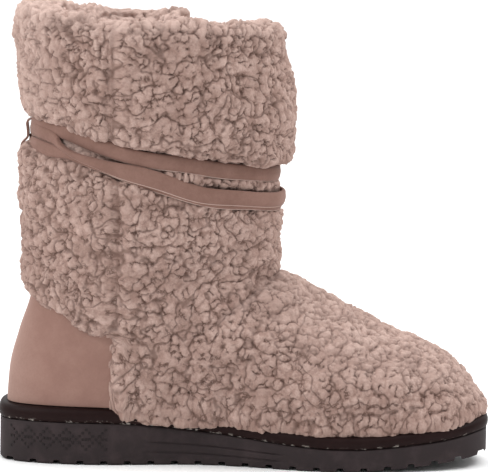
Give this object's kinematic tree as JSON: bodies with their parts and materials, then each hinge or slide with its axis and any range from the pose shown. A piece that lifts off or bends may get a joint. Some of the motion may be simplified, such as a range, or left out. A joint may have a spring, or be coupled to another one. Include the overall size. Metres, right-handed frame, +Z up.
{
  "type": "boot",
  "caption": "Calf-high fleece boot with a folded cuff, a suede heel counter, a thin strap wrapped round the shaft and a lugged rubber sole.",
  "frame": {"origin": "on the floor, at the middle of the boot's length and width", "axes": "+X towards the toe, +Y towards the outer side of the foot, +Z up"},
  "size_m": [0.2818, 0.1225, 0.2611],
  "materials": {
    "fleece": "deep curly pile",
    "suede": "brushed nap",
    "strap_suede": "brushed nap, raw pale edges",
    "sole_rubber": "matt, moulded",
    "rim_rubber": "satin",
    "footbed": "short fleece"
  },
  "bodies": {
    "root": {"upper": "fleece", "cuff": "fleece", "heel_counter": "suede", "wrap_strap": "strap_suede", "strap_keeper": "strap_suede", "outsole": "sole_rubber", "midsole_rim": "rim_rubber", "insole": "footbed"}
  },
  "joints": []
}
